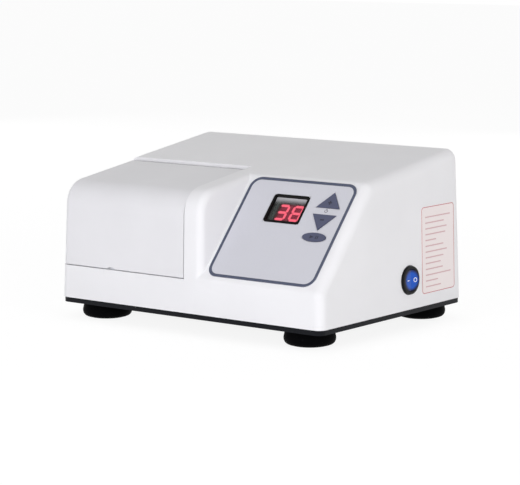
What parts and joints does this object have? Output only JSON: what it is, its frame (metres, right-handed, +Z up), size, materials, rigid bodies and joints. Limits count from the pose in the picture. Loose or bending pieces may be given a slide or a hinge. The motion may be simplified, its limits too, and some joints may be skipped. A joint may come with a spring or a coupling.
{
  "type": "dental amalgamator",
  "caption": "Bench-top dental capsule mixer: wedge case with sloped control panel, hinged mixing chamber lid, sprung shaker arm, rocker switch and rubber feet.",
  "frame": {"origin": "centre of the case on the surface that the four feet stand on", "axes": "+X to the right along the front, +Y to the back, +Z up"},
  "size_m": [0.2591, 0.1929, 0.1344],
  "materials": {
    "white_shell": "satin white moulded ABS",
    "lid_shell": "satin white moulded ABS",
    "chamber_plastic": "fine satin light grey moulding",
    "black_base": "black-navy powder coat",
    "foot_rubber": "matt black rubber",
    "mount_rubber": "matt black rubber",
    "zinc_screw": "zinc plated",
    "steel_part": "plated steel",
    "shaft_steel": "ground steel",
    "cast_part": "die-cast aluminium",
    "brass_part": "turned brass",
    "black_plastic": "black moulded plastic",
    "switch_black": "glossy black",
    "switch_blue": "glossy blue",
    "label_film": "printed silver-grey film",
    "key_film": "slate blue-grey embossed film",
    "display_black": "glossy black",
    "smoked_pane": "smoked acrylic",
    "digit_module": "red seven-segment digits",
    "board_green": "solder-masked board",
    "core_iron": "laminated steel core",
    "coil_tape": "taped copper winding",
    "capacitor_blue": "sleeved capacitor",
    "wire_sleeve": "insulated wire",
    "fuse_glass": "glass tube fuse",
    "paper_label": "printed film label"
  },
  "bodies": {
    "case": {"housing": "white_shell", "base_plate": "black_base", "foot_front_left": "foot_rubber", "foot_front_right": "foot_rubber", "foot_rear_left": "foot_rubber", "foot_rear_right": "foot_rubber", "foot_screws": "zinc_screw", "case_screws": "zinc_screw", "mixing_chamber": "chamber_plastic", "hinge_screws": "zinc_screw", "chamber_seal": "mount_rubber", "hinge_bracket_left": "steel_part", "hinge_bracket_right": "steel_part", "hinge_pin": "shaft_steel", "lid_sensor": "black_plastic", "motor_can": "steel_part", "motor_end_cap": "black_plastic", "motor_bracket": "steel_part", "motor_screws": "zinc_screw", "rubber_mounts": "mount_rubber", "mount_bolts": "zinc_screw", "arm_spring_left": "steel_part", "arm_spring_right": "steel_part", "control_label": "label_film", "display_frame": "display_black", "display_window": "smoked_pane", "display_module": "digit_module", "control_board": "board_green", "board_screws": "zinc_screw", "key_switches": "black_plastic", "buzzer": "black_plastic", "power_board": "board_green", "board_standoffs": "brass_part", "capacitors": "capacitor_blue", "heat_sink": "cast_part", "terminal_block": "board_green", "transformer_core": "core_iron", "transformer_coil": "coil_tape", "transformer_frame": "steel_part", "switch_body": "switch_black", "mains_inlet": "switch_black", "wiring": "wire_sleeve", "rating_label": "paper_label"},
    "lid": {"lid": "lid_shell", "lid_magnet": "shaft_steel"},
    "rotor": {"motor_shaft": "shaft_steel", "cooling_fan": "black_plastic", "counterweight": "brass_part", "canted_bush": "brass_part"},
    "arm": {"bearing_ring": "shaft_steel", "shaker_arm": "cast_part", "clip_pin": "shaft_steel", "clip_spring": "steel_part"},
    "clip": {"clip_prong": "steel_part"},
    "upper_key": {"key_up": "key_film"},
    "lower_key": {"key_down": "key_film"},
    "start_key": {"key_start": "key_film"},
    "rocker": {"switch_rocker": "switch_blue"},
    "drawer": {"fuse_drawer": "switch_black", "fuse": "fuse_glass"}
  },
  "joints": [
    {"name": "lid_hinge", "type": "hinge", "parent": "case", "child": "lid", "pos_m": [-0.058, -0.0161, 0.11335], "axis": [-1, 0, 0], "range_deg": [0, 85]},
    {"name": "shaft_spin", "type": "hinge", "parent": "case", "child": "rotor", "pos_m": [-0.06, 0.0077, 0.074], "axis": [0, 1, 0], "continuous": true},
    {"name": "arm_swing", "type": "hinge", "parent": "case", "child": "arm", "pos_m": [-0.06, 0.0077, 0.074], "axis": [1, 0, 0], "range_deg": [-6, 6], "stiffness_Nm_per_rad": 2},
    {"name": "clip_open", "type": "hinge", "parent": "arm", "child": "clip", "pos_m": [-0.0425, -0.0273, 0.074], "axis": [0, 0, 1], "range_deg": [0, 15], "stiffness_Nm_per_rad": 0.3, "springref_deg": -2.86},
    {"name": "key_up_press", "type": "slide", "parent": "case", "child": "upper_key", "axis": [0, 0.7536, -0.6574], "range_m": [0, 0.0005], "stiffness_N_per_m": 600},
    {"name": "key_down_press", "type": "slide", "parent": "case", "child": "lower_key", "axis": [0, 0.7536, -0.6574], "range_m": [0, 0.0005], "stiffness_N_per_m": 600},
    {"name": "key_start_press", "type": "slide", "parent": "case", "child": "start_key", "axis": [0, 0.7536, -0.6574], "range_m": [0, 0.0005], "stiffness_N_per_m": 600},
    {"name": "switch_rock", "type": "hinge", "parent": "case", "child": "rocker", "pos_m": [0.1262, 0.0205, 0.03897], "axis": [-0.0262, 0, 0.9997], "range_deg": [0, 14]},
    {"name": "fuse_drawer_slide", "type": "slide", "parent": "case", "child": "drawer", "axis": [0, 0.9997, 0.0262], "range_m": [0, 0.016]}
  ]
}
